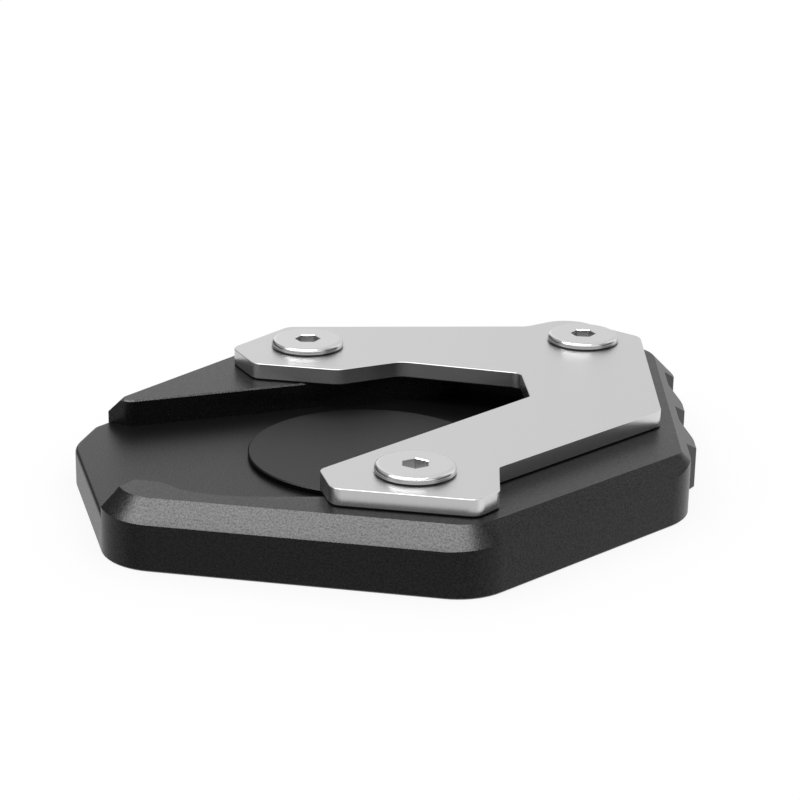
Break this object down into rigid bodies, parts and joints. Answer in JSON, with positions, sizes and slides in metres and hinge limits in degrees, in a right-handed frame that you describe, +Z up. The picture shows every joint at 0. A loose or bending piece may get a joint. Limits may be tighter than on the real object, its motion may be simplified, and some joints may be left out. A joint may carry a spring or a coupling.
{
  "type": "side stand foot enlarger",
  "caption": "Bevelled base plate with a pocket for a motorbike side stand's foot, a round pad in it and a screwed-on fork-shaped clamp plate that spreads the load on soft ground.",
  "frame": {"origin": "middle of the footprint's box, on the ground face", "axes": "+Z up from the ground, +Y from the bevelled front edge to the rear, +X towards the toothed edge; the pocket opens towards -X"},
  "size_m": [0.1031, 0.1056, 0.0154],
  "materials": {
    "black_anodised": "bead-blasted and anodised black, satin",
    "pad_rubber": "smooth matt",
    "silver_anodised": "satin, with bright broken edges",
    "bright_screw": "bright polished"
  },
  "bodies": {
    "root": {"base_plate": "black_anodised", "foot_pad": "pad_rubber", "clamp_plate": "silver_anodised", "clamp_screws": "bright_screw"}
  },
  "joints": []
}
